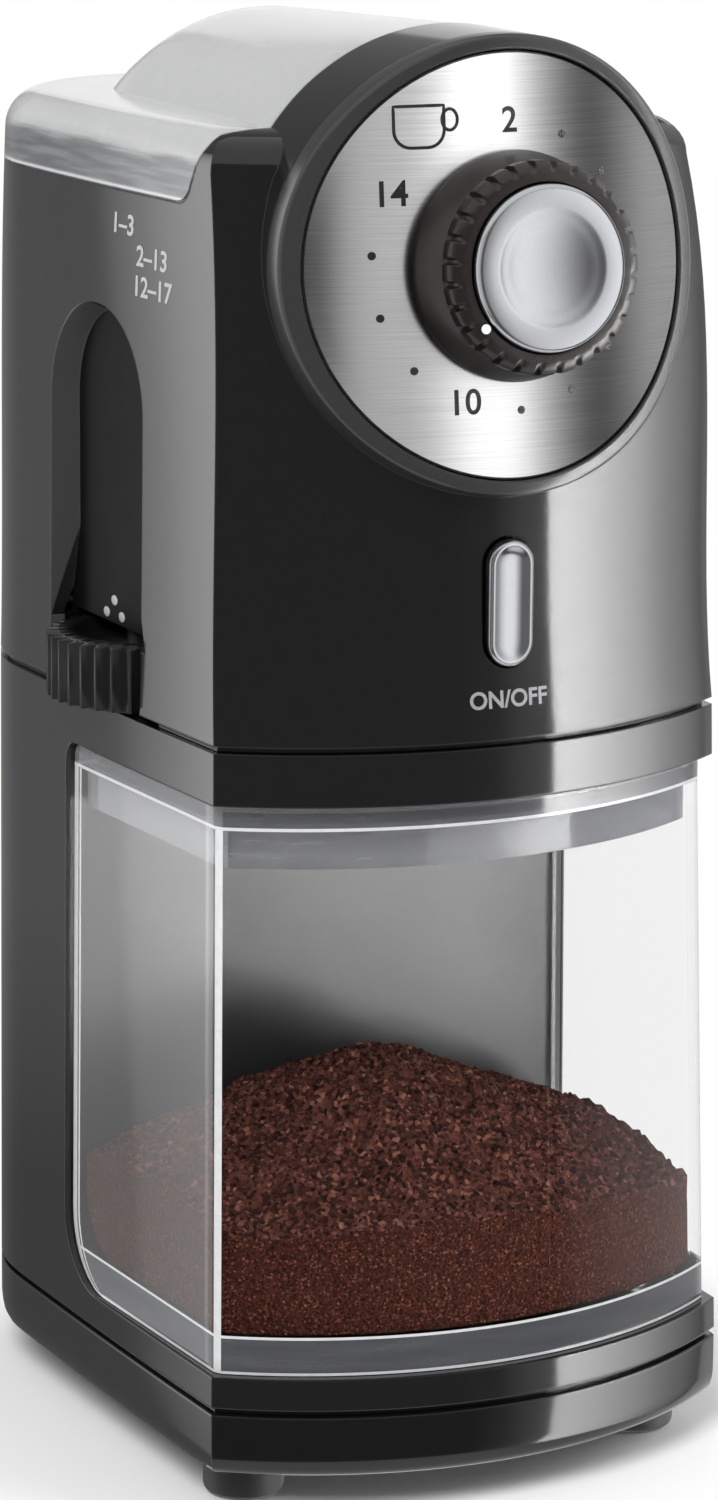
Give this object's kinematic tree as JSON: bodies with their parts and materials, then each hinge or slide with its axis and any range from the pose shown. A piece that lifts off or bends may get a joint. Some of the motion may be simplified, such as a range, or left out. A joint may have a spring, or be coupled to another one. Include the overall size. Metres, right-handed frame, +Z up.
{
  "type": "burr coffee grinder",
  "caption": "Tall burr coffee grinder: tapered black housing, round steel dial with a cup knob, start button, thumb wheel for the grind, clear grounds container below, lidded hopper on top.",
  "frame": {"origin": "on the table under the middle of the housing's width, halfway between the knob's face and the back wall to within 3 mm", "axes": "+Z up, the dial and the container face -Y, the thumb wheel is on -X"},
  "size_m": [0.1097, 0.1506, 0.2563],
  "materials": {
    "black_shell": "gloss",
    "black_rubber": "matte",
    "screw_steel": "bright zinc",
    "black_moulding": "satin",
    "brushed_plate": "brushed along X",
    "satin_silver": "satin silver",
    "white_paint": "paint",
    "turned_steel": "turned",
    "grey_moulding": "matte",
    "board_green": "laminate",
    "burr_steel": "ground",
    "pressed_steel": "zinc plated",
    "iron": "ferrite and laminations",
    "carbon": "carbon",
    "seal_rubber": "matte",
    "milky_clear": "milky clear",
    "clear": "clear",
    "coffee": "ground coffee"
  },
  "bodies": {
    "housing": {"base_plate": "black_shell", "rubber_feet": "black_rubber", "base_screws": "screw_steel", "lower_housing": "black_shell", "cord_gland": "black_moulding", "upper_housing": "black_shell", "dial_plate": "brushed_plate", "dial_bezel": "black_shell", "timer_control": "grey_moulding", "control_board": "board_green", "board_screws": "screw_steel", "start_switch": "grey_moulding", "wheel_pin": "turned_steel", "grinding_chamber": "grey_moulding", "grounds_chute": "grey_moulding", "motor_can": "pressed_steel", "motor_end_cap": "grey_moulding", "motor_magnets": "iron", "motor_brushes": "carbon", "lower_bearing": "turned_steel", "upper_bearing": "turned_steel", "shaft_seal": "seal_rubber", "motor_mount": "pressed_steel", "motor_screws": "screw_steel", "bean_hopper": "milky_clear"},
    "knob": {"cup_knob": "black_moulding", "knob_cap": "satin_silver", "knob_pointer": "white_paint", "timer_stem": "turned_steel"},
    "button": {"start_button": "satin_silver"},
    "wheel": {"grind_wheel": "black_moulding"},
    "ring": {"adjusting_ring": "grey_moulding"},
    "upper_burr_set": {"upper_burr": "burr_steel", "upper_burr_carrier": "grey_moulding"},
    "rotor": {"armature": "iron", "motor_shaft": "turned_steel", "lower_burr": "burr_steel", "lower_burr_carrier": "grey_moulding", "burr_nut": "burr_steel"},
    "lid": {"hopper_lid": "milky_clear"},
    "container": {"grounds_container": "clear", "container_lid": "clear", "ground_coffee": "coffee"}
  },
  "joints": [
    {"name": "knob_turn", "type": "hinge", "parent": "housing", "child": "knob", "pos_m": [0, -0.0572, 0.2177], "axis": [0, -0.9962, 0.0872], "range_deg": [-68, 232]},
    {"name": "button_press", "type": "slide", "parent": "housing", "child": "button", "axis": [0, 1, 0], "range_m": [0, 0.0022], "stiffness_N_per_m": 900},
    {"name": "wheel_turn", "type": "hinge", "parent": "housing", "child": "wheel", "pos_m": [-0.038, 0.0035, 0.142], "axis": [0, 0, 1], "range_deg": [-72, 72]},
    {"name": "ring_turn", "type": "hinge", "parent": "housing", "child": "ring", "pos_m": [0, 0.0375, 0.14], "axis": [0, 0, 1], "range_deg": [-43, 43]},
    {"name": "burr_adjust", "type": "slide", "parent": "housing", "child": "upper_burr_set", "axis": [0, 0, 1], "range_m": [-0.0004, 0.0004]},
    {"name": "rotor_spin", "type": "hinge", "parent": "housing", "child": "rotor", "pos_m": [0, 0.0375, 0.14], "axis": [0, 0, 1], "continuous": true},
    {"name": "lid_lift", "type": "slide", "parent": "housing", "child": "lid", "axis": [0, 0, 1], "range_m": [0, 0.06]},
    {"name": "container_slide", "type": "slide", "parent": "housing", "child": "container", "axis": [0, -1, 0], "range_m": [0, 0.1]}
  ],
  "couplings": [
    {"joint": "wheel_turn", "follows": "burr_adjust", "rad_per_m": 2939.4},
    {"joint": "ring_turn", "follows": "burr_adjust", "rad_per_m": -1745.3}
  ]
}
